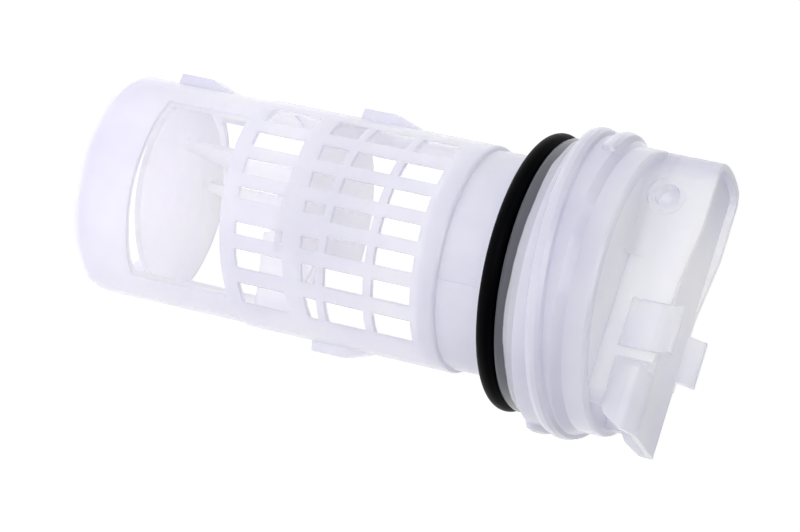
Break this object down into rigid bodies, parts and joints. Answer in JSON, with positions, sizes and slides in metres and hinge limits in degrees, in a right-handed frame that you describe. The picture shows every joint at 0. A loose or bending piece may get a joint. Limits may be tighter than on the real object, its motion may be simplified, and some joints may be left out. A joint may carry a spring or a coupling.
{
  "type": "drain pump lint filter",
  "caption": "Lint filter housing: windowed strainer basket with baffle, threaded cap with ring seal, and a pull-out drain duct in the finger grip.",
  "frame": {"origin": "on the filter's axis, in the plane that the basket's end ring rests on", "axes": "+Z runs from the end ring to the finger grip; -Y is the side with the grid of windows; -X and +X are the sides of the two rails"},
  "size_m": [0.0636, 0.0636, 0.1318],
  "materials": {
    "basket_plastic": "milky, slightly translucent moulding",
    "cap_plastic": "milky, slightly translucent moulding",
    "duct_plastic": "milky, slightly translucent moulding",
    "seal_rubber": "smooth, slightly wet"
  },
  "bodies": {
    "housing": {"filter_basket": "basket_plastic", "threaded_cap": "cap_plastic", "cap_seal": "seal_rubber"},
    "duct": {"drain_duct": "duct_plastic", "plug_seal": "seal_rubber"}
  },
  "joints": [
    {"name": "duct_slide", "type": "slide", "parent": "housing", "child": "duct", "axis": [0, 0, 1], "range_m": [0, 0.012]}
  ]
}
